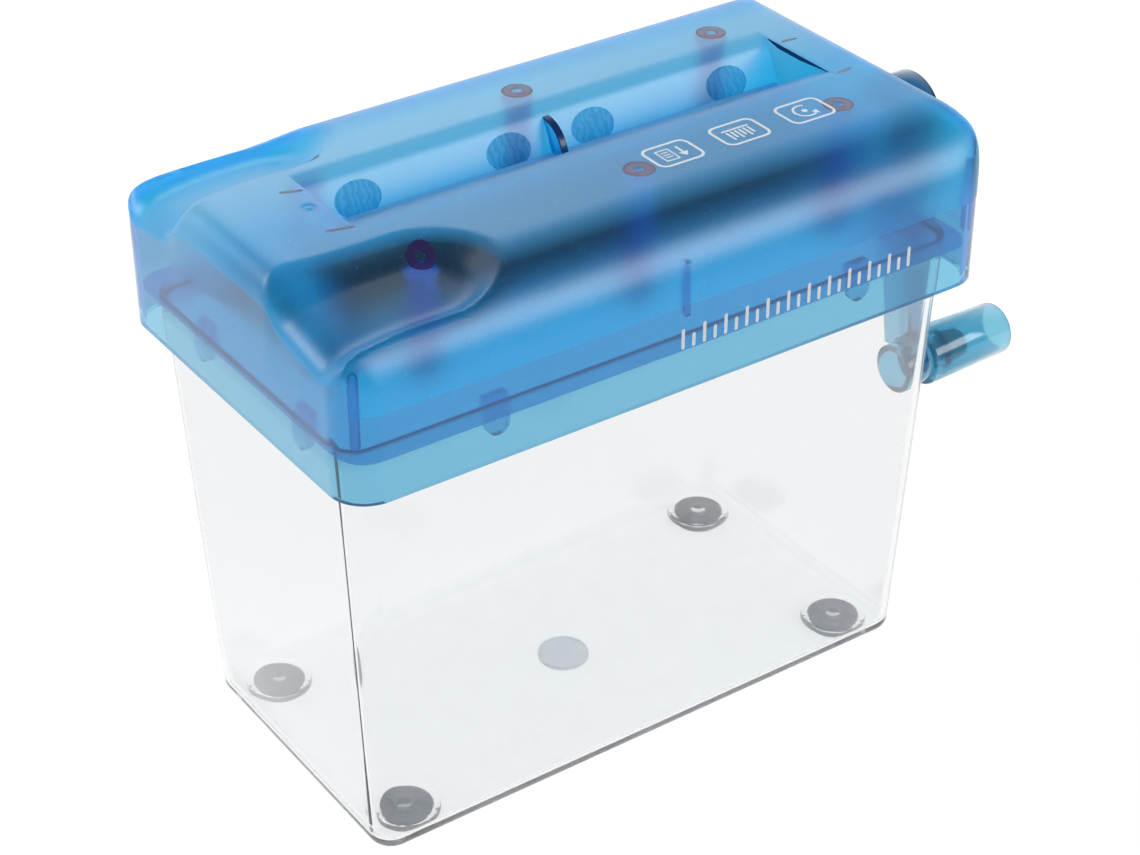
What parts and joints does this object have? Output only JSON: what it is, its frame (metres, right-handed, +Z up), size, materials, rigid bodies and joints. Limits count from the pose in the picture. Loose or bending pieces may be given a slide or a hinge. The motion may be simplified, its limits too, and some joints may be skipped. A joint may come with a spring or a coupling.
{
  "type": "hand-crank mini paper shredder",
  "caption": "Small desktop paper shredder with a translucent blue cutting head, a side crank with a spinning grip and a clear lift-off waste bin on rubber feet.",
  "frame": {"origin": "on the table, under the middle of the bin's footprint", "axes": "+X along the paper slot towards the crank, -Y the front, +Z up"},
  "size_m": [0.2112, 0.102, 0.1498],
  "materials": {
    "clear_plastic": "clear polystyrene, polished",
    "blue_plastic": "translucent blue polystyrene, frosted on the dome and polished on the skirt",
    "pale_blue_plastic": "translucent pale blue, satin",
    "grey_rubber": "matte grey rubber",
    "white_nylon": "natural nylon",
    "dark_steel": "blackened punched steel",
    "bright_steel": "zinc plated steel"
  },
  "bodies": {
    "bin": {"waste_bin": "clear_plastic", "rubber_feet": "grey_rubber"},
    "head": {"top_cover": "blue_plastic", "base_plate": "blue_plastic", "cover_screws": "bright_steel", "left_bearing_plate": "blue_plastic", "right_bearing_plate": "blue_plastic", "shaft_bushes": "white_nylon", "bearing_screws": "bright_steel", "front_stripper": "blue_plastic", "rear_stripper": "blue_plastic"},
    "front_cutter": {"front_cutter_shaft": "bright_steel", "front_cutter_discs": "dark_steel", "front_gear": "white_nylon", "driven_gear": "white_nylon", "front_clip": "bright_steel"},
    "rear_cutter": {"rear_cutter_shaft": "bright_steel", "rear_cutter_discs": "dark_steel", "rear_gear": "white_nylon", "rear_left_clip": "bright_steel", "rear_right_clip": "bright_steel"},
    "crank": {"crank_shaft": "bright_steel", "drive_pinion": "white_nylon", "crank_arm": "blue_plastic", "crank_screw": "bright_steel"},
    "grip": {"crank_grip": "pale_blue_plastic"}
  },
  "joints": [
    {"name": "head_lift", "type": "slide", "parent": "bin", "child": "head", "axis": [0, 0, 1], "range_m": [0, 0.05]},
    {"name": "front_cutter_spin", "type": "hinge", "parent": "head", "child": "front_cutter", "pos_m": [0.00545, -0.0011, 0.1276], "axis": [1, 0, 0], "continuous": true},
    {"name": "rear_cutter_spin", "type": "hinge", "parent": "head", "child": "rear_cutter", "pos_m": [0.00545, 0.0129, 0.1276], "axis": [1, 0, 0], "continuous": true},
    {"name": "crank_spin", "type": "hinge", "parent": "head", "child": "crank", "pos_m": [0.09, -0.01201, 0.1337], "axis": [1, 0, 0], "continuous": true},
    {"name": "grip_spin", "type": "hinge", "parent": "crank", "child": "grip", "pos_m": [0.11, -0.0199, 0.06656], "axis": [1, 0, 0], "continuous": true}
  ],
  "couplings": [
    {"joint": "rear_cutter_spin", "follows": "front_cutter_spin", "ratio": -1},
    {"joint": "crank_spin", "follows": "front_cutter_spin", "ratio": -1.2727}
  ]
}
